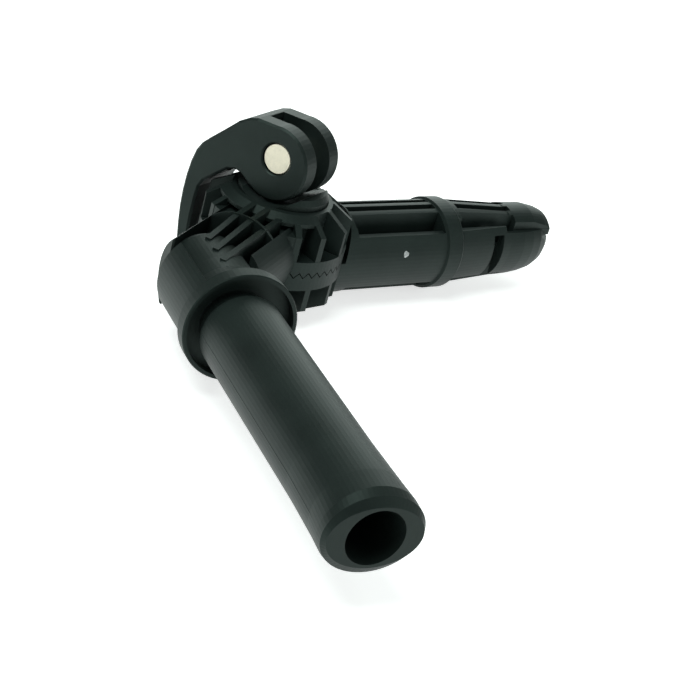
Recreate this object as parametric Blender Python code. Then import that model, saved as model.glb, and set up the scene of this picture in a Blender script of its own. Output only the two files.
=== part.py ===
"""Adjustable angle joint with a quick-release cam lever.

A round tube arm and a ribbed plug arm meet in a toothed hub. The hub axis is vertical, the tube runs
along -Y, and the origin is on the hub axis in the underside of the base cap. Every mesh is built in hub
coordinates, where z is 0 in the plane of the face teeth, and is then placed with the cap's underside at z = 0.
"""

import math

import bmesh
import bpy
from mathutils import Matrix, Vector

GAP = 0.0003  # play between pieces that touch

# hub: two toothed halves, mirror images above and below the tooth plane
HUB_RADIUS = 0.0245
RIB_RADIUS = 0.0244
BAND_HEIGHT = 0.0047
LOWER_BAND_HEIGHT = 0.0054
CORE_START = 0.0012  # the core is clear of the other half's teeth
ARM_START = 0.0016  # and so is the root of each arm
SHOULDER_HEIGHT = 0.0131  # where the ribs' outer edges turn inward
CORE_RADIUS = 0.0168
HUB_HALF_HEIGHT = 0.0185
RIB_THICKNESS = 0.0021
TEETH = 45
TOOTH_HEIGHT = 0.0018
TOOTH_GAP = 0.00045  # vertical, about GAP measured across a flank
TOOTH_INNER_RADIUS = 0.0158
RIB_OFFSETS = (39.0, 60.0, 88.0, 116.0, 148.0)  # degrees either side of the arm, and one is opposite it

# tube arm
ELBOW_OFFSET = 0.0358  # the elbow is this far from the hub axis along -X and along -Y
TUBE_AXIS_HEIGHT = 0.0031
TUBE_RADIUS = 0.0125
SPIGOT_RADIUS = 0.0104  # between the tube's rounded inner end and the flange
BORE_RADIUS = 0.0080
BORE_DEPTH = 0.0950
TUBE_END = -0.1643
END_HALF_WIDTH = 0.0140
END_HALF_HEIGHT = 0.0089
FLANGE_FACE = -0.0651
FLANGE_BACK = -0.0603
FLANGE_RADIUS = 0.0175
RECESS_RADIUS = 0.0162  # ring-shaped recess in the flange's front face
RECESS_DEPTH = 0.0036
SHELL_RADIUS = 0.0155  # outside of the barrel and of the neck
BARREL_END = -0.0340
BARREL_SHIFT = 0.0009  # the barrel and its flange sit this far off the tube's axis, towards the hub
INNER_END = -0.0300
INNER_DOME = 0.0060
BARREL_OPEN = 46.5  # the barrel's shell covers this angle above and below its far side
NECK_ANGLE = 225.0
NECK_RING = 0.0300  # distance of the neck's cross ring from the hub axis
NECK_RING_THICKNESS = 0.0012
NECK_WALL = 0.0106  # half-width between the neck's side walls
PLATES = (-0.0026, 0.0023, 0.0071)  # sideways positions of the upright plates
PLATE_THICKNESS = 0.00185
PLATE_END = 0.0370  # the plates stop this far from the hub axis along -X
NECK_CORNER = -0.0470  # and the neck's far corner stops here
WEB_THICKNESS = 0.0024

# plug arm
PLUG_ANGLE = 11.25
PLUG_AXIS_HEIGHT = -0.0033
PLUG_RADIUS = 0.0154
PLUG_START = 0.0260  # above the lower half, the arm starts this far from the hub axis
PLUG_RIBS = (-0.0044, 0.0, 0.0044)
PLUG_RIB_THICKNESS = 0.0018
PLUG_WALL = 0.0098  # half-width between the side walls
WALL_EDGE = 0.0095  # height of the side walls' edges above and below the arm's axis
COLLAR_START = 0.0650
COLLAR_END = 0.0722
COLLAR_RADIUS = 0.0162
PLUG_NECK_WALL = 0.0083
NOSE_START = 0.0980
NOSE_HEIGHT = 1.12  # the plug beyond the collar is this much taller than wide
NOSE_PROFILE = (
    (0.0139, 0.0722),
    (0.0121, 0.0980),
    (0.0119, 0.1050),
    (0.0114, 0.1100),
    (0.0105, 0.1145),
    (0.0090, 0.1180),
    (0.0068, 0.1208),
    (0.0036, 0.1228),
)
PLUG_TIP = 0.1234
UPPER_TIP = 0.1193  # the nose's upper half is shorter and narrower
UPPER_HALF_WIDTH = 0.0078
UPPER_EDGE = 0.0073
UPPER_PROFILE = (
    (0.0122, 0.0985, 0.0137),
    (0.0120, 0.1105, 0.0135),
    (0.0112, 0.1165, 0.0122),
    (0.0100, 0.1210, 0.0105),
)
NOSE_SLOT = (0.0033, 0.0049)
NOSE_SLOT_START = 0.1155
GROOVE_START = 0.0893
GROOVE_END = 0.0943
GROOVE_FLOOR = 0.0078  # the notch in each flank goes through the side wall

# clamp
PIN_HEIGHT = 0.0314
PIN_ANGLE = 36.4
PIN_RADIUS = 0.0049
PIN_LENGTH = 0.0190
NUT_HOLE = 0.0033
CHEEK_RADIUS = 0.0123
CHEEK_DROP = 0.0017  # the cheeks' centre is this far below the pin
CHEEK_SHIFT = 0.0006
LEVER_WIDTH = 0.0208
LEVER_CHAMFER = 0.0007
SLOT_WIDTH = 0.0082
SLOT_END = 0.0090
BOLT_RADIUS = 0.0030
BOLT_TOP = 0.0362
BOLT_HOLE = 0.0035
HEAD_FLATS = 0.0100
HEAD_HEIGHT = 0.0040
WASHER_RADIUS = 0.0060
WASHER_THICKNESS = 0.0016
HEAD_SEAT = -0.0100  # the washer's seat in the lower half
HEAD_POCKET = 0.0068
CAP_RADIUS = 0.0100
CAP_RECESS = 0.0025  # depth of the cap's seat in the lower half
CAP_UNDERSIDE = -0.0198
SPRING_RADIUS = 0.0054
SPRING_WIRE = 0.0006
SPRING_POCKET = 0.0070
SPRING_POCKET_TOP = 0.0076
SPRING_TURNS = 5
SADDLE_RADIUS = 0.0150
SADDLE_SEAT = 0.0130
SADDLE_RIM = 0.0178
SADDLE_EAR_TOP = 0.0214
SADDLE_HANDLE_SIDE = 0.0192  # the side under the handle is lower
CRADLE_RADIUS = 0.0160
CRADLE_FLOOR = 0.0168

SIDES = 64
UP = Vector((0.0, 0.0, 1.0))
TO_WORLD = Vector((0.0, 0.0, -CAP_UNDERSIDE))

MATERIALS = {
    "black_nylon": ((0.030, 0.033, 0.032, 1.0), 0.45, 0.0),
    "black_lever": ((0.036, 0.039, 0.038, 1.0), 0.42, 0.0),
    "nickel_steel": ((0.74, 0.71, 0.63, 1.0), 0.32, 1.0),
    "zinc_steel": ((0.52, 0.53, 0.55, 1.0), 0.38, 1.0),
    "spring_steel": ((0.40, 0.41, 0.43, 1.0), 0.35, 1.0),
}


# ---------------------------------------------------------------- helpers


def clear_scene():
    for item in list(bpy.data.objects):
        bpy.data.objects.remove(item)


def material(name):
    found = bpy.data.materials.get(name)
    if found:
        return found
    made = bpy.data.materials.new(name)
    made.use_nodes = True
    colour, roughness, metallic = MATERIALS[name]
    shader = made.node_tree.nodes["Principled BSDF"]
    shader.inputs["Base Color"].default_value = colour
    shader.inputs["Roughness"].default_value = roughness
    shader.inputs["Metallic"].default_value = metallic
    made.diffuse_color = colour
    return made


def heading(degrees):
    return Vector((math.cos(math.radians(degrees)), math.sin(math.radians(degrees)), 0.0))


def frame(origin, x_axis, z_axis):
    """The matrix of a local frame with the given origin, x axis and z axis."""
    z_axis = z_axis.normalized()
    x_axis = (x_axis - z_axis * x_axis.dot(z_axis)).normalized()
    turn = Matrix((x_axis, z_axis.cross(x_axis), z_axis)).transposed()
    return Matrix.Translation(origin) @ turn.to_4x4()


def tube_frame():
    """Local z runs along +Y on the tube's axis, and local x is +X, so an angle of 90 degrees is down."""
    return frame(Vector((-ELBOW_OFFSET, 0.0, TUBE_AXIS_HEIGHT)), Vector((1, 0, 0)), Vector((0, 1, 0)))


def neck_frame():
    """Local z runs from the hub to the elbow on the neck's axis, and local y is up."""
    along = heading(NECK_ANGLE)
    return frame(Vector((0.0, 0.0, TUBE_AXIS_HEIGHT)), UP.cross(along), along)


def plug_frame():
    """Local z runs along the plug's axis, and local y is up."""
    along = heading(PLUG_ANGLE)
    return frame(Vector((0.0, 0.0, PLUG_AXIS_HEIGHT)), UP.cross(along), along)


def lever_frame():
    """Local z runs along the cross pin, local x from the pin towards the handle, and local y is up."""
    along = heading(PIN_ANGLE)
    return frame(Vector((0.0, 0.0, PIN_HEIGHT)), UP.cross(along), along)


def mesh_object(name, vertices, faces, place=None):
    mesh = bpy.data.meshes.new(name)
    mesh.from_pydata(vertices, [], faces)
    if place:
        mesh.transform(place)
    editor = bmesh.new()
    editor.from_mesh(mesh)
    bmesh.ops.recalc_face_normals(editor, faces=editor.faces)
    editor.to_mesh(mesh)
    editor.free()
    item = bpy.data.objects.new(name, mesh)
    bpy.context.collection.objects.link(item)
    return item


def prism(outline, low, high, place=None):
    """An outline in the local xy plane, pushed out from z = low to z = high."""
    count = len(outline)
    vertices = [(x, y, low) for x, y in outline] + [(x, y, high) for x, y in outline]
    faces = [tuple(range(count)), tuple(range(count, 2 * count))]
    faces += [(i, (i + 1) % count, count + (i + 1) % count, count + i) for i in range(count)]
    return mesh_object("prism", vertices, faces, place)


def box(low, high, place=None):
    outline = [(low[0], low[1]), (high[0], low[1]), (high[0], high[1]), (low[0], high[1])]
    return prism(outline, low[2], high[2], place)


def turned(profile, place=None, sides=SIDES):
    """A profile of (radius, z) points turned about the local z axis; a radius of 0 is a pole.

    A third number in a point is the radius along local y, where the section is oval.
    """
    rings = []
    vertices = []
    for radius, z, *other in profile:
        upright = other[0] if other else radius
        if radius == 0.0:
            rings.append([len(vertices)] * sides)
            vertices.append((0.0, 0.0, z))
            continue
        rings.append(list(range(len(vertices), len(vertices) + sides)))
        for k in range(sides):
            angle = 2 * math.pi * k / sides
            vertices.append((radius * math.cos(angle), upright * math.sin(angle), z))
    faces = []
    for a, b in zip(rings, rings[1:] + rings[:1]):
        for k in range(sides):
            corners = (a[k], a[(k + 1) % sides], b[(k + 1) % sides], b[k])
            corners = tuple(dict.fromkeys(corners))
            if len(corners) > 2:
                faces.append(corners)
    return mesh_object("turned", vertices, faces, place)


def rod(radius, low, high, place=None, sides=SIDES):
    return turned([(0.0, low), (radius, low), (radius, high), (0.0, high)], place, sides)


def arc(centre, radius, start, end, steps):
    """Points on an arc, angles in degrees."""
    points = []
    for k in range(steps + 1):
        angle = math.radians(start + (end - start) * k / steps)
        points.append((centre[0] + radius * math.cos(angle), centre[1] + radius * math.sin(angle)))
    return points


def sector(inner, outer, start, end, low, high, place=None, step=5.625):
    """A piece of a ring between two angles in degrees."""
    steps = max(1, round((end - start) / step))
    outline = arc((0.0, 0.0), outer, start, end, steps) + arc((0.0, 0.0), inner, end, start, steps)
    return prism(outline, low, high, place)


def boolean(target, tool, operation, solver="EXACT"):
    modifier = target.modifiers.new("boolean", "BOOLEAN")
    modifier.operation = operation
    modifier.solver = solver
    modifier.object = tool
    graph = bpy.context.evaluated_depsgraph_get()
    result = bpy.data.meshes.new_from_object(target.evaluated_get(graph))
    target.modifiers.clear()
    old = target.data
    target.data = result
    bpy.data.meshes.remove(old)
    bpy.data.objects.remove(tool)
    return target


def joined(items):
    """Several separate closed shapes as one object, for use as a single cutter."""
    editor = bmesh.new()
    for item in items:
        editor.from_mesh(item.data)
        bpy.data.objects.remove(item)
    mesh = bpy.data.meshes.new("joined")
    editor.to_mesh(mesh)
    editor.free()
    item = bpy.data.objects.new("joined", mesh)
    bpy.context.collection.objects.link(item)
    return item


def unite(target, items):
    for item in items:
        boolean(target, item, "UNION")
    return target


def cut(target, items):
    for item in items:
        boolean(target, item, "DIFFERENCE")
    return target


def finish(item, name, finish_name, pivot):
    """Names a piece, gives it its material, and puts its origin on its pivot, in world coordinates."""
    item.name = name
    item.data.name = name
    item.data.materials.clear()
    item.data.materials.append(material(finish_name))
    editor = bmesh.new()
    editor.from_mesh(item.data)
    bmesh.ops.remove_doubles(editor, verts=editor.verts, dist=1e-5)
    bmesh.ops.dissolve_limit(editor, verts=editor.verts, edges=editor.edges, angle_limit=math.radians(0.05))
    bmesh.ops.triangulate(editor, faces=editor.faces)
    editor.to_mesh(item.data)
    editor.free()
    item.data.transform(Matrix.Translation(-pivot))
    item.location = pivot + TO_WORLD
    item.data.shade_smooth()
    item.data.set_sharp_from_angle(angle=math.radians(32))
    return item


# ---------------------------------------------------------------- hub halves


def tooth_ring(side):
    """The band of one hub half with its face teeth; side is +1 above the tooth plane and -1 below it."""
    steps = 2 * TEETH
    band = BAND_HEIGHT if side > 0 else LOWER_BAND_HEIGHT
    vertices = []
    for k in range(steps):
        angle = 2 * math.pi * k / steps + math.radians(PLUG_ANGLE)
        tip = (TOOTH_HEIGHT / 2) * (1 if k % 2 else -1) + side * TOOTH_GAP / 2
        for radius in (TOOTH_INNER_RADIUS, HUB_RADIUS):
            for z in (tip, side * band):
                vertices.append((radius * math.cos(angle), radius * math.sin(angle), z))
    faces = []
    for k in range(steps):
        a = 4 * k
        b = 4 * ((k + 1) % steps)
        faces.append((a, a + 2, b + 2))
        faces.append((a, b + 2, b))
        faces.append((a + 2, a + 3, b + 3, b + 2))
        faces.append((a + 3, a + 1, b + 1, b + 3))
        faces.append((a + 1, a, b, b + 1))
    return mesh_object("tooth_ring", vertices, faces)


def hub_rib(angle, side):
    """A radial rib, upright on the band, with its outer edge turned inward above the shoulder."""
    top = side * HUB_HALF_HEIGHT * 0.97
    outline = [
        (CORE_RADIUS - 0.0015, side * 0.002),
        (RIB_RADIUS, side * 0.002),
        (RIB_RADIUS, side * SHOULDER_HEIGHT),
        (CORE_RADIUS + 0.0003, top),
        (CORE_RADIUS - 0.0015, top),
    ]
    place = frame(Vector((0, 0, 0)), heading(angle), UP.cross(heading(angle)) * -1)
    return prism(outline, -RIB_THICKNESS / 2, RIB_THICKNESS / 2, place)


def hub_half(side, rib_angles):
    """Core, toothed band and ribs of one half, still solid inside."""
    body = rod(CORE_RADIUS, side * CORE_START, side * HUB_HALF_HEIGHT)
    unite(body, [tooth_ring(side)])
    unite(body, [hub_rib(angle, side) for angle in rib_angles])
    return body


# ---------------------------------------------------------------- tube arm


def slots(edges, wall, low, high, height, web, place):
    """Cutters for the slots between upright plates: edges holds (left, right) of each plate, in order."""
    bounds = [-wall] + [x for pair in edges for x in pair] + [wall]
    cutters = []
    for left, right in zip(bounds[0::2], bounds[1::2]):
        for side in (1, -1):
            bottom, top = sorted((side * web / 2, side * height))
            cutters.append(box((left, bottom, low), (right, top, high), place))
    return cutters


def neck_plates():
    """The upright plates, from the hub over the elbow to the tube's crest."""
    along = heading(NECK_ANGLE)
    sideways = UP.cross(along)
    plates = []
    for offset in PLATES:
        start = CORE_RADIUS - 0.002
        end = PLATE_END * math.sqrt(2) + offset
        high = math.sqrt(SHELL_RADIUS**2 - offset**2) - 0.0004
        low = TUBE_RADIUS + 0.0004
        upper = [(start, high), (NECK_RING, high), (end, low)]
        outline = upper + [(x, -y) for x, y in reversed(upper)]
        middle = UP * TUBE_AXIS_HEIGHT + sideways * offset
        place = frame(middle, along, along.cross(UP))
        plates.append(prism(outline, -PLATE_THICKNESS / 2, PLATE_THICKNESS / 2, place))
    return joined(plates)


def neck_body():
    """The neck between elbow and hub: side walls, a cross ring, a level web and the upright plates."""
    place = neck_frame()
    elbow = ELBOW_OFFSET * math.sqrt(2)
    body = rod(SHELL_RADIUS, CORE_RADIUS - 0.003, elbow + 0.008, place)
    mitre_along = Vector((math.cos(math.radians(-22.5)), math.sin(math.radians(-22.5)), 0.0))
    mitre = frame(Vector((-ELBOW_OFFSET, -ELBOW_OFFSET, TUBE_AXIS_HEIGHT)), mitre_along, UP)
    cut(body, [box((-0.04, -0.04, -0.03), (0.04, 0.0, 0.03), mitre)])
    cut(body, [box((-0.09, -0.06, -0.03), (NECK_CORNER, 0.02, 0.03))])
    ring = NECK_RING_THICKNESS / 2
    outer = slots([], NECK_WALL, NECK_RING + ring, elbow + 0.02, 0.02, WEB_THICKNESS, place)
    inner = slots([], NECK_WALL, 0.010, NECK_RING - ring, 0.02, WEB_THICKNESS, place)
    cut(body, [joined(outer), joined(inner)])
    unite(body, [neck_plates()])
    # the lower hub half turns below the neck's root
    return cut(body, [rod(HUB_RADIUS + 0.0006, -0.03, ARM_START)])


def tube_body():
    """The tube on its spigot, oval towards the open end, with sloped edges above and below the bore."""
    return turned([
        (0.0, TUBE_END),
        (END_HALF_WIDTH - 0.0009, TUBE_END, END_HALF_HEIGHT),
        (END_HALF_WIDTH, TUBE_END + 0.0015, END_HALF_HEIGHT + 0.0024),
        (END_HALF_WIDTH - 0.0002, TUBE_END + 0.0042, TUBE_RADIUS - 0.0003),
        (TUBE_RADIUS + 0.0006, TUBE_END + 0.0110, TUBE_RADIUS),
        (TUBE_RADIUS, TUBE_END + 0.0270),
        (TUBE_RADIUS, FLANGE_FACE - 0.0034),
        (TUBE_RADIUS - 0.0003, FLANGE_FACE - 0.0024),
        (TUBE_RADIUS - 0.0010, FLANGE_FACE - 0.0018),
        (SPIGOT_RADIUS, FLANGE_FACE - 0.0016),
        (SPIGOT_RADIUS, FLANGE_FACE + RECESS_DEPTH + 0.0004),
        (0.0, FLANGE_FACE + RECESS_DEPTH + 0.0004),
    ], tube_frame())


def barrel_body():
    """The flange and the barrel behind it, with a rounded inner body that shows where the shell is open."""
    place = Matrix.Translation((BARREL_SHIFT, 0.0, 0.0)) @ tube_frame()
    profile = [
        (0.0, FLANGE_FACE + RECESS_DEPTH),
        (RECESS_RADIUS, FLANGE_FACE + RECESS_DEPTH),
        (RECESS_RADIUS, FLANGE_FACE),
        (FLANGE_RADIUS - 0.0003, FLANGE_FACE),
        (FLANGE_RADIUS, FLANGE_FACE + 0.0003),
        (FLANGE_RADIUS, FLANGE_BACK - 0.0003),
        (FLANGE_RADIUS - 0.0003, FLANGE_BACK),
        (SHELL_RADIUS - 0.0004, FLANGE_BACK),
        (SHELL_RADIUS - 0.0012, -0.0570),
        (TUBE_RADIUS + 0.0004, -0.0510),
        (TUBE_RADIUS, -0.0440),
        (TUBE_RADIUS, INNER_END),
    ]
    for degrees in (15, 30, 45, 60, 75):
        angle = math.radians(degrees)
        profile.append((TUBE_RADIUS * math.cos(angle), INNER_END + INNER_DOME * math.sin(angle)))
    profile.append((0.0, INNER_END + INNER_DOME))
    body = turned(profile, place)
    start, end = 180 - BARREL_OPEN, 180 + BARREL_OPEN
    shell = sector(0.0105, SHELL_RADIUS, start, end, FLANGE_BACK - 0.001, BARREL_END, place)
    return unite(body, [shell])


def tube_arm():
    body = barrel_body()
    unite(body, [tube_body(), neck_body()])
    angles = [NECK_ANGLE + 180]
    for offset in RIB_OFFSETS:
        angles += [NECK_ANGLE - offset, NECK_ANGLE + offset]
    unite(body, [hub_half(1, angles)])
    for start, end in ((249, 264), (186, 201)):
        wall = sector(CORE_RADIUS - 0.001, RIB_RADIUS - 0.0001, start, end, 0.002, SHOULDER_HEIGHT)
        unite(body, [wall])
    skin = turned([
        (CORE_RADIUS - 0.001, 0.0148),
        (0.0203, 0.0148),
        (0.0203, 0.0160),
        (CORE_RADIUS + 0.0002, 0.0180),
        (CORE_RADIUS - 0.001, 0.0180),
    ])
    boolean(skin, sector(0.010, 0.030, 165, 285, 0.010, 0.020), "INTERSECT")
    unite(body, [skin])
    top = HUB_HALF_HEIGHT + 0.002
    cut(body, [rod(0.030, SADDLE_RIM, top, sides=24)])
    cut(body, [rod(SADDLE_RADIUS + GAP, SADDLE_SEAT, top)])
    cut(body, [rod(SPRING_POCKET, -0.01, SPRING_POCKET_TOP)])
    cut(body, [rod(BOLT_HOLE, -0.01, top)])
    cut(body, [rod(BORE_RADIUS, TUBE_END - 0.01, TUBE_END + BORE_DEPTH, tube_frame())])
    return body


# ---------------------------------------------------------------- plug arm


def plug_body():
    """The plug arm: side walls, ribs and a level web, a collar, and a rounded nose, slotted and notched."""
    place = plug_frame()
    profile = [
        (0.0, CORE_RADIUS - 0.002),
        (PLUG_RADIUS, CORE_RADIUS - 0.002),
        (PLUG_RADIUS, COLLAR_START),
        (COLLAR_RADIUS, COLLAR_START + 0.0004),
        (COLLAR_RADIUS, COLLAR_END - 0.0008),
        (COLLAR_RADIUS - 0.0006, COLLAR_END),
    ]
    for radius, z in NOSE_PROFILE:
        profile.append((radius, z, radius * NOSE_HEIGHT))
    profile.append((0.0, PLUG_TIP))
    body = turned(profile, place)
    # the upper half of the nose is blunter than the lower half
    upper = turned([(0.0, 0.0985), *UPPER_PROFILE, (0.0, 0.1210)], place)
    reach = UPPER_HALF_WIDTH + 0.0001
    boolean(upper, box((-reach, 0.0041, 0.0990), (reach, 0.02, 0.1200), place), "INTERSECT")
    unite(body, [upper])
    cut(body, [rod(PLUG_START, -ARM_START, 0.03)])
    half = PLUG_RIB_THICKNESS / 2
    edges = [(x - half, x + half) for x in PLUG_RIBS]
    near = slots(edges, PLUG_WALL, PLUG_START + 0.0003, COLLAR_START - 0.0005, 0.02, WEB_THICKNESS, place)
    far = slots(edges, PLUG_NECK_WALL, COLLAR_END + 0.0022, NOSE_START + 0.0028, 0.02, WEB_THICKNESS, place)
    cut(body, [joined(near), joined(far)])
    # level edges of the side walls
    trims = []
    step = 0.0001
    lengths = (
        (PLUG_START + 0.0006, COLLAR_START - 4 * step, PLUG_WALL),
        (COLLAR_END - step, NOSE_START - 4 * step, PLUG_NECK_WALL),
    )
    for side in (1, -1):
        for low, high, wall in lengths:
            for flank in (1, -1):
                left, right = sorted((flank * (wall - 0.0008), flank * 0.02))
                bottom, top = sorted((side * WALL_EDGE, side * 0.02))
                trims.append(box((left, bottom, low), (right, top, high), place))
    cut(body, [joined(trims)])
    # the nose's slot, and a notch in each flank
    cut(body, [box((-0.02, NOSE_SLOT[0], NOSE_SLOT_START), (0.02, NOSE_SLOT[1], 0.13), place)])
    cut(body, [box((-0.02, NOSE_SLOT[0] + 0.0008, UPPER_TIP), (0.02, 0.02, 0.13), place)])
    for flank in (1, -1):
        left, right = sorted((flank * GROOVE_FLOOR, flank * 0.02))
        cut(body, [box((left, -0.02, GROOVE_START), (right, 0.0070, GROOVE_END), place)])
        left, right = sorted((flank * UPPER_HALF_WIDTH, flank * 0.02))
        cut(body, [box((left, UPPER_EDGE, NOSE_START - 0.0022), (right, 0.02, 0.13), place)])
    return body


def plug_arm():
    angles = [PLUG_ANGLE + 180]
    for offset in RIB_OFFSETS:
        angles += [PLUG_ANGLE - offset, PLUG_ANGLE + offset]
    body = plug_body()
    unite(body, [hub_half(-1, angles)])
    cut(body, [rod(BOLT_HOLE, -0.03, 0.01)])
    cut(body, [rod(HEAD_POCKET, -0.03, HEAD_SEAT)])
    cut(body, [rod(CAP_RADIUS + GAP, -0.03, -HUB_HALF_HEIGHT + CAP_RECESS)])
    return body


# ---------------------------------------------------------------- clamp


def cam_lever():
    """Two cam cheeks that turn on the barrel nut, and a handle that folds down beside the hub."""
    place = lever_frame()
    centre = (CHEEK_SHIFT, -CHEEK_DROP)
    outline = arc(centre, CHEEK_RADIUS, 300, 80, 30)
    outline += [(0.0060, 0.0103), (0.0097, 0.0101), (0.0125, 0.0091), (0.0161, 0.0067), (0.0207, 0.0018)]
    outline += [(0.0249, -0.0025), (0.0277, -0.0056), (0.0293, -0.0087), (0.0303, -0.0129), (0.0309, -0.0181)]
    outline += [(0.0311, -0.0236), (0.0309, -0.0290), (0.0303, -0.0345), (0.0292, -0.0416), (0.0283, -0.0454)]
    outline += [(0.0267, -0.0472), (0.0251, -0.0474), (0.0246, -0.0462)]
    outline += [(0.0252, -0.0430), (0.0255, -0.0369), (0.0257, -0.0307), (0.0256, -0.0243), (0.0252, -0.0200)]
    outline += [(0.0240, -0.0174), (0.0206, -0.0142), (0.0182, -0.0118), (0.0161, -0.0099), (0.0136, -0.0091)]
    outline += [(0.0112, -0.0095), (0.0090, -0.0110)]
    body = chamfered_prism(outline, LEVER_WIDTH / 2, LEVER_CHAMFER, place)
    cut(body, [box((-0.03, -0.03, -SLOT_WIDTH / 2), (SLOT_END, 0.03, SLOT_WIDTH / 2), place)])
    hole = PIN_RADIUS + GAP
    half = LEVER_WIDTH / 2
    return cut(body, [turned([
        (0.0, -half - 0.001),
        (hole + 0.0014, -half - 0.001),
        (hole, -half + 0.0004),
        (hole, half - 0.0004),
        (hole + 0.0014, half + 0.001),
        (0.0, half + 0.001),
    ], place)])


def chamfered_prism(outline, half, chamfer, place):
    """An outline pushed out to both sides, with its outer edges cut back by a chamfer."""
    count = len(outline)
    inset = []
    for i in range(count):
        before = Vector(outline[i - 1])
        here = Vector(outline[i])
        after = Vector(outline[(i + 1) % count])
        direction = ((here - before).normalized() + (after - here).normalized()).normalized()
        normal = Vector((direction.y, -direction.x))
        inset.append(here + normal * chamfer)
    layers = [(inset, -half), (outline, -half + chamfer), (outline, half - chamfer), (inset, half)]
    vertices = [(point[0], point[1], z) for points, z in layers for point in points]
    faces = [tuple(range(count)), tuple(range(3 * count, 4 * count))]
    for layer in range(3):
        a = layer * count
        b = a + count
        faces += [(a + i, a + (i + 1) % count, b + (i + 1) % count, b + i) for i in range(count)]
    return mesh_object("chamfered", vertices, faces, place)


def barrel_nut():
    body = turned([
        (0.0, -PIN_LENGTH / 2),
        (PIN_RADIUS - 0.0002, -PIN_LENGTH / 2),
        (PIN_RADIUS, -PIN_LENGTH / 2 + 0.0002),
        (PIN_RADIUS, PIN_LENGTH / 2 - 0.0002),
        (PIN_RADIUS - 0.0002, PIN_LENGTH / 2),
        (0.0, PIN_LENGTH / 2),
    ], lever_frame(), sides=32)
    return cut(body, [rod(NUT_HOLE, 0.02, 0.05, sides=24)])


def clamp_bolt():
    seat = HEAD_SEAT - 2 * GAP - WASHER_THICKNESS
    head = rod(HEAD_FLATS / math.sqrt(3), seat - HEAD_HEIGHT, seat, sides=6)
    shank = turned([
        (0.0, seat - 0.001),
        (BOLT_RADIUS, seat - 0.001),
        (BOLT_RADIUS, BOLT_TOP - 0.0006),
        (BOLT_RADIUS - 0.0006, BOLT_TOP),
        (0.0, BOLT_TOP),
    ], sides=24)
    return unite(head, [shank])


def bolt_washer():
    top = HEAD_SEAT - GAP
    return turned([
        (BOLT_HOLE, top - WASHER_THICKNESS),
        (WASHER_RADIUS, top - WASHER_THICKNESS),
        (WASHER_RADIUS, top),
        (BOLT_HOLE, top),
    ], sides=32)


def cam_saddle():
    """A disc with a cradle for the cam cheeks across its top, lower on the handle's side."""
    body = turned([
        (0.0, SADDLE_SEAT + GAP),
        (SADDLE_RADIUS, SADDLE_SEAT + GAP),
        (SADDLE_RADIUS, SADDLE_EAR_TOP - 0.0018),
        (SADDLE_RADIUS - 0.0010, SADDLE_EAR_TOP),
        (0.0, SADDLE_EAR_TOP),
    ])
    cradle = Matrix.Translation((0.0, 0.0, CRADLE_FLOOR + CRADLE_RADIUS - PIN_HEIGHT)) @ lever_frame()
    cut(body, [rod(CRADLE_RADIUS, -0.03, 0.03, cradle)])
    low_side = box((0.003, SADDLE_HANDLE_SIDE - PIN_HEIGHT, -0.03), (0.03, 0.03, 0.03), lever_frame())
    cut(body, [low_side])
    return cut(body, [rod(BOLT_HOLE, 0.0, 0.05, sides=24)])


def release_spring():
    """A round-wire coil that lifts the toothed halves apart when the lever opens."""
    low = -CORE_START + GAP + SPRING_WIRE
    high = SPRING_POCKET_TOP - GAP - SPRING_WIRE
    around = 16
    steps = SPRING_TURNS * around
    sides = 6
    vertices = []
    for k in range(steps + 1):
        out = heading(360.0 * k / around)
        centre = out * SPRING_RADIUS + UP * (low + (high - low) * k / steps)
        for side in range(sides):
            angle = 2 * math.pi * side / sides
            vertices.append(centre + out * SPRING_WIRE * math.cos(angle) + UP * SPRING_WIRE * math.sin(angle))
    faces = [tuple(range(sides)), tuple(range(steps * sides, (steps + 1) * sides))]
    for k in range(steps):
        for side in range(sides):
            a = k * sides + side
            b = k * sides + (side + 1) % sides
            faces.append((a, b, b + sides, a + sides))
    return mesh_object("spring", vertices, faces)


def base_cap():
    top = -HUB_HALF_HEIGHT + CAP_RECESS - GAP
    return turned([
        (0.0, CAP_UNDERSIDE),
        (CAP_RADIUS - 0.0006, CAP_UNDERSIDE),
        (CAP_RADIUS, CAP_UNDERSIDE + 0.0006),
        (CAP_RADIUS, top),
        (0.0, top),
    ])


# ---------------------------------------------------------------- assembly


def build():
    clear_scene()
    hub = Vector((0.0, 0.0, 0.0))
    pin = Vector((0.0, 0.0, PIN_HEIGHT))
    finish(tube_arm(), "tube_arm", "black_nylon", hub)
    finish(plug_arm(), "plug_arm", "black_nylon", hub)
    finish(cam_lever(), "cam_lever", "black_lever", pin)
    finish(barrel_nut(), "barrel_nut", "nickel_steel", pin)
    finish(clamp_bolt(), "clamp_bolt", "zinc_steel", hub)
    finish(bolt_washer(), "bolt_washer", "zinc_steel", hub)
    finish(cam_saddle(), "cam_saddle", "black_lever", hub)
    finish(release_spring(), "release_spring", "spring_steel", hub)
    finish(base_cap(), "base_cap", "black_nylon", hub)


if __name__ == "__main__":
    build()
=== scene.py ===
"""Looks of the lockable angle joint: materials, moulding details, floor, lights and camera."""

import math

import bmesh
import bpy
from mathutils import Matrix, Vector


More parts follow.
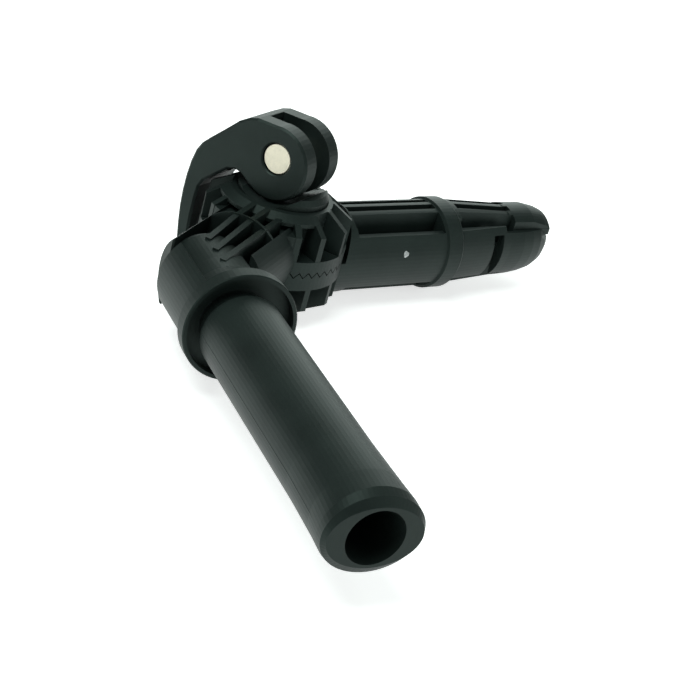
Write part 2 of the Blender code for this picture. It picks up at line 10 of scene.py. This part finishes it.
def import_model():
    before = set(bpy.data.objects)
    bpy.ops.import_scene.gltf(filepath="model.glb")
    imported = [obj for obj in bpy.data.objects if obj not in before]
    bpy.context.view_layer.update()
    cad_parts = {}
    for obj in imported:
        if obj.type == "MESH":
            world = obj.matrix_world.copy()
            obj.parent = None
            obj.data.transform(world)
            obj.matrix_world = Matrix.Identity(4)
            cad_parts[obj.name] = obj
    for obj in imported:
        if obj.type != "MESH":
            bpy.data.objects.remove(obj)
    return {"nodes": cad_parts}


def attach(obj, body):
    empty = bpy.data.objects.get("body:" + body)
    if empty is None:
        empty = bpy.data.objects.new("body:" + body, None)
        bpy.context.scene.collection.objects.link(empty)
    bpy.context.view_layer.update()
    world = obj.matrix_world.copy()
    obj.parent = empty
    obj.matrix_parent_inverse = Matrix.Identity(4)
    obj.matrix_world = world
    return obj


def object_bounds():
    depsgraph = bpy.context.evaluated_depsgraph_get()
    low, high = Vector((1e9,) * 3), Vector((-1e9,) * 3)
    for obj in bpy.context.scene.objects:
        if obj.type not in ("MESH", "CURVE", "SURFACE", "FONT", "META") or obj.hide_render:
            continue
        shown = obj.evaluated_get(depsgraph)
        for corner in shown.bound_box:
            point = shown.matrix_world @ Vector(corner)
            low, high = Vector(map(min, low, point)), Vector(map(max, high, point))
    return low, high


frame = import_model()
cad_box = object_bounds()
nodes = frame["nodes"]

# dimensions repeated from the part, in metres
HUB_LIFT = 0.0198  # height of the tooth plane above the cap's underside
TUBE_X = -0.0358
TUBE_Z = HUB_LIFT + 0.0031
TUBE_RADIUS = 0.0125
TUBE_END = -0.1643
FLANGE_FACE = -0.0651
PLUG_ANGLE = math.radians(11.25)
PLUG_Z = HUB_LIFT - 0.0033
PLUG_RADIUS = 0.0154

# moulding details, in metres
SEAM_STATIONS = (  # how much wider the tube is than its straight part, and where
    (0.0014, TUBE_END + 0.0016),
    (0.0012, TUBE_END + 0.0042),
    (0.0006, TUBE_END + 0.0110),
    (0.0, TUBE_END + 0.0270),
    (0.0, FLANGE_FACE - 0.0040),
)
SEAM_WIDTH = 0.00035
SEAM_HEIGHT = 0.00006
SEAM_ROOT = 0.0002  # depth of a ridge below its own base line
SEAM_SINK = 0.00001  # the ridges start this far inside the tube's surface
GATE_ALONG = 0.0466  # from the hub axis
GATE_HEIGHT = 0.0038  # above the plug arm's axis
GATE_RADIUS = 0.0011
GATE_RISE = 0.00018
GATE_SINK = 0.00002

# stage
FLOOR_HALF = 4.0
FLOOR_DROP = 0.0002  # the floor is this far below the part
SOFT_WHITE = (0.90, 1.0, 0.96)
LIGHTS = (  # name, place, target, diameter, power in watts
    ("key", (-0.35, -0.10, 0.80), (-0.02, -0.05, 0.02), 0.60, 5.4),
    ("fill", (0.55, -0.55, 0.45), (0.0, -0.05, 0.02), 0.60, 1.2),
    ("rim", (0.38, 0.60, 0.36), (-0.02, -0.04, 0.02), 0.75, 3.0),
)
CAMERA_PLACE = (-0.21265, -0.42406, 0.20581 + HUB_LIFT)
CAMERA_RIGHT = (0.8881, -0.3857, 0.2502)
CAMERA_UP = (-0.0198, 0.5117, 0.8590)
LENS = 80.41371  # focal length in millimetres
SENSOR = 36.0


# ---------------------------------------------------------------- materials


class Nodes:
    """A new material and short calls for wiring its nodes."""

    def __init__(self, name):
        self.material = bpy.data.materials.new(name)
        self.material.use_nodes = True
        self.tree = self.material.node_tree
        self.shader = self.tree.nodes["Principled BSDF"]
        self.coords = self.add("ShaderNodeTexCoord").outputs["Object"]

    def add(self, kind, **inputs):
        node = self.tree.nodes.new(kind)
        for key, value in inputs.items():
            node.inputs[key.replace("_", " ")].default_value = value
        return node

    def link(self, source, target):
        self.tree.links.new(source, target)

    def noise(self, scale, detail=2.0, roughness=0.5, stretch=None):
        node = self.add("ShaderNodeTexNoise", Scale=scale, Detail=detail, Roughness=roughness)
        vector = self.coords
        if stretch:
            mapping = self.add("ShaderNodeMapping")
            mapping.inputs["Scale"].default_value = stretch
            self.link(vector, mapping.inputs["Vector"])
            vector = mapping.outputs["Vector"]
        self.link(vector, node.inputs["Vector"])
        return node.outputs["Fac"]

    def ramp(self, source, stops):
        node = self.add("ShaderNodeValToRGB")
        elements = node.color_ramp.elements
        while len(elements) < len(stops):
            elements.new(0.5)
        for element, (place, colour) in zip(elements, stops):
            element.position = place
            element.color = colour
        self.link(source, node.inputs["Fac"])
        return node.outputs["Color"]

    def spread(self, source, low, high):
        node = self.add("ShaderNodeMapRange")
        node.inputs["To Min"].default_value = low
        node.inputs["To Max"].default_value = high
        self.link(source, node.inputs["Value"])
        return node.outputs["Result"]

    def bump(self, source, distance, strength=1.0, normal=None):
        node = self.add("ShaderNodeBump", Strength=strength, Distance=distance)
        self.link(source, node.inputs["Height"])
        if normal:
            self.link(normal, node.inputs["Normal"])
        return node.outputs["Normal"]


def grey(value, tint=(0.0, 0.0, 0.0)):
    return (value + tint[0], value + tint[1], value + tint[2], 1.0)


def moulded_plastic(name, shade, rough, grain=1.0):
    """Black glass-filled nylon: fine spark-eroded grain, cloudy shade and gloss that follows the flow."""
    mat = Nodes(name)
    fine = mat.noise(5200.0, 3.0, 0.6)
    pits = mat.noise(2300.0, 2.0, 0.5)
    cloud = mat.noise(70.0, 4.0, 0.55)
    flow = mat.noise(28.0, 3.0, 0.5, (1.0, 0.35, 1.0))
    dark = grey(shade * 0.82, (-0.0020, 0.0016, 0.0008))
    pale = grey(shade * 1.25, (-0.0028, 0.0026, 0.0012))
    colour = mat.ramp(cloud, [(0.32, dark), (0.70, pale)])
    mat.link(colour, mat.shader.inputs["Base Color"])
    blend = mat.add("ShaderNodeMath")
    blend.operation = "MULTIPLY_ADD"
    mat.link(flow, blend.inputs[0])
    blend.inputs[1].default_value = 0.6
    mat.link(mat.spread(fine, -0.2, 0.4), blend.inputs[2])
    mat.link(mat.spread(blend.outputs[0], rough - 0.05, rough + 0.09), mat.shader.inputs["Roughness"])
    coarse = mat.bump(pits, 0.00004 * grain, 0.35)
    mat.link(mat.bump(fine, 0.00002 * grain, 0.35, coarse), mat.shader.inputs["Normal"])
    mat.shader.inputs["Specular IOR Level"].default_value = 0.20
    mat.shader.inputs["Specular Tint"].default_value = (0.80, 1.0, 0.93, 1.0)
    mat.shader.inputs["IOR"].default_value = 1.53
    return mat.material


def plated_metal(name, colour, rough, turned=False):
    """Plated steel with fine tool marks and slight cloudiness."""
    mat = Nodes(name)
    cloud = mat.noise(420.0, 3.0, 0.6)
    marks = mat.noise(3000.0, 2.0, 0.5, (1.0, 1.0, 6.0) if turned else (1.0, 1.0, 1.0))
    low = tuple(c * 0.86 for c in colour) + (1.0,)
    high = tuple(min(1.0, c * 1.05) for c in colour) + (1.0,)
    mat.link(mat.ramp(cloud, [(0.3, low), (0.7, high)]), mat.shader.inputs["Base Color"])
    mat.link(mat.spread(cloud, rough - 0.06, rough + 0.10), mat.shader.inputs["Roughness"])
    mat.link(mat.bump(marks, 0.00002, 0.5), mat.shader.inputs["Normal"])
    mat.shader.inputs["Metallic"].default_value = 0.9
    return mat.material


def glint_painted_plastic(name):
    """Grainy pale colour for the gate's torn-off end; the paleness is a painted highlight standing in for
    the spot's shine.
    """
    mat = Nodes(name)
    grain = mat.noise(2600.0, 3.0, 0.6)
    # painted highlight: this pale grey ramp stands in for the shine of a glossy spot, not a whitened
    # colour
    colour = mat.ramp(grain, [(0.35, (0.20, 0.21, 0.21, 1.0)), (0.65, (0.62, 0.64, 0.64, 1.0))])
    mat.link(colour, mat.shader.inputs["Base Color"])
    mat.link(mat.spread(grain, 0.55, 0.8), mat.shader.inputs["Roughness"])
    mat.link(mat.bump(grain, 0.0001, 0.8), mat.shader.inputs["Normal"])
    return mat.material


BLACK = moulded_plastic("nylon_black", 0.0115, 0.46)
LEVER = moulded_plastic("nylon_lever", 0.0120, 0.46, 0.8)
NICKEL = plated_metal("nickel_plate", (0.74, 0.69, 0.56), 0.42, True)
ZINC = plated_metal("zinc_plate", (0.55, 0.56, 0.58), 0.36)
WIRE = plated_metal("spring_wire", (0.42, 0.43, 0.45), 0.32)
# the gate spot's pale material is a painted highlight
GLINT_PALE = glint_painted_plastic("gate_painted_glint")

FINISHES = {
    "tube_arm": BLACK,
    "plug_arm": BLACK,
    "base_cap": BLACK,
    "cam_lever": LEVER,
    "cam_saddle": LEVER,
    "barrel_nut": NICKEL,
    "clamp_bolt": ZINC,
    "bolt_washer": ZINC,
    "release_spring": WIRE,
}

for name, material in FINISHES.items():
    node = nodes[name]
    node.data.materials.clear()
    node.data.materials.append(material)


# ---------------------------------------------------------------- moulding details


def piece(name, editor, material, body):
    mesh = bpy.data.meshes.new(name)
    bmesh.ops.recalc_face_normals(editor, faces=editor.faces)
    editor.to_mesh(mesh)
    editor.free()
    item = bpy.data.objects.new(name, mesh)
    bpy.context.collection.objects.link(item)
    mesh.materials.append(material)
    mesh.shade_smooth()
    mesh.set_sharp_from_angle(angle=math.radians(40))
    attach(item, body)


def ridge(editor, start, end, out, width, height):
    """A low rounded ridge from start to end that stands out along the given direction."""
    along = (end - start).normalized()
    side = along.cross(out).normalized()
    section = []
    for k in range(7):
        angle = math.pi * k / 6
        section.append(side * (width / 2 * math.cos(angle)) + out * (height * math.sin(angle)))
    section.append(-out * SEAM_ROOT - side * width / 2)
    section.append(-out * SEAM_ROOT + side * width / 2)
    first = [editor.verts.new(start + offset) for offset in section]
    last = [editor.verts.new(end + offset) for offset in section]
    count = len(section)
    for k in range(count):
        editor.faces.new((first[k], first[(k + 1) % count], last[(k + 1) % count], last[k]))
    editor.faces.new(first)
    editor.faces.new(last)


def disc(editor, centre, out, radius, rise, sides=24):
    """A low domed spot."""
    across = out.orthogonal().normalized()
    other = out.cross(across)
    rings = []
    for reach, lift in ((1.0, -0.0001), (1.0, 0.0), (0.7, rise * 0.7), (0.3, rise)):
        ring = []
        for k in range(sides):
            angle = 2 * math.pi * k / sides
            wobble = 1.0 + 0.10 * math.sin(3 * angle + 0.6) + 0.05 * math.sin(5 * angle)
            offset = (across * math.cos(angle) + other * math.sin(angle)) * radius * reach * wobble
            ring.append(editor.verts.new(centre + offset + out * lift))
        rings.append(ring)
    for low, high in zip(rings, rings[1:]):
        for k in range(sides):
            editor.faces.new((low[k], low[(k + 1) % sides], high[(k + 1) % sides], high[k]))
    editor.faces.new(rings[0])
    editor.faces.new(rings[-1])


def tube_seams():
    """The mould's parting line along both sides of the tube."""
    editor = bmesh.new()
    for side in (1, -1):
        points = []
        for wider, y in SEAM_STATIONS:
            reach = TUBE_RADIUS + wider - SEAM_SINK
            points.append(Vector((TUBE_X + side * reach, y, TUBE_Z)))
        for start, end in zip(points, points[1:]):
            ridge(editor, start, end, Vector((side, 0, 0)), SEAM_WIDTH, SEAM_HEIGHT)
    piece("tube_seams", editor, BLACK, "tube_side")


def gate_mark_glint():
    """The gate's raised witness on the plug arm's near wall, coloured pale as a painted highlight."""
    along = Vector((math.cos(PLUG_ANGLE), math.sin(PLUG_ANGLE), 0.0))
    near = Vector((math.sin(PLUG_ANGLE), -math.cos(PLUG_ANGLE), 0.0))
    reach = math.sqrt(PLUG_RADIUS**2 - GATE_HEIGHT**2)
    out = (near * reach + Vector((0, 0, GATE_HEIGHT))).normalized()
    foot = along * GATE_ALONG + near * reach + Vector((0, 0, PLUG_Z + GATE_HEIGHT))
    editor = bmesh.new()
    # the bump is real shape; its pale colour is a painted highlight
    disc(editor, foot - out * GATE_SINK, out, GATE_RADIUS, GATE_RISE)
    piece("gate_mark_glint", editor, GLINT_PALE, "plug_side")


tube_seams()
gate_mark_glint()


# ---------------------------------------------------------------- stage, light, camera


def floor():
    mesh = bpy.data.meshes.new("floor")
    level = cad_box[0][2] - FLOOR_DROP
    corners = [(x * FLOOR_HALF, y * FLOOR_HALF, level) for x, y in ((-1, -1), (1, -1), (1, 1), (-1, 1))]
    mesh.from_pydata(corners, [], [(0, 1, 2, 3)])
    item = bpy.data.objects.new("floor", mesh)
    bpy.context.collection.objects.link(item)
    mat = Nodes("floor_white")
    mist = mat.noise(3.0)
    mat.link(mat.ramp(mist, [(0.0, grey(0.90)), (1.0, grey(0.93))]), mat.shader.inputs["Base Color"])
    mat.shader.inputs["Roughness"].default_value = 0.9
    mat.shader.inputs["Emission Color"].default_value = (1.0, 1.0, 1.0, 1.0)
    mat.shader.inputs["Emission Strength"].default_value = 0.66
    mesh.materials.append(mat.material)


def soft_light(name, place, target, size, power):
    data = bpy.data.lights.new(name, "AREA")
    data.shape = "DISK"
    data.size = size
    data.energy = power
    data.color = SOFT_WHITE
    item = bpy.data.objects.new(name, data)
    item.location = place
    item.rotation_euler = (Vector(target) - Vector(place)).to_track_quat("-Z", "Y").to_euler()
    bpy.context.collection.objects.link(item)


def camera():
    right = Vector(CAMERA_RIGHT).normalized()
    back = right.cross(Vector(CAMERA_UP)).normalized()
    up = back.cross(right)
    data = bpy.data.cameras.new("camera")
    data.sensor_width = SENSOR
    data.lens = LENS
    data.clip_start = 0.01
    item = bpy.data.objects.new("camera", data)
    turn = Matrix((right, up, back)).transposed().to_4x4()
    item.matrix_world = Matrix.Translation(CAMERA_PLACE) @ turn
    bpy.context.collection.objects.link(item)
    bpy.context.scene.camera = item


def world():
    made = bpy.data.worlds.new("studio")
    made.use_nodes = True
    background = made.node_tree.nodes["Background"]
    background.inputs["Color"].default_value = SOFT_WHITE + (1.0,)
    background.inputs["Strength"].default_value = 0.20
    bpy.context.scene.world = made


floor()
world()
for light in LIGHTS:
    soft_light(*light)
camera()
bpy.context.scene.view_settings.view_transform = "Standard"
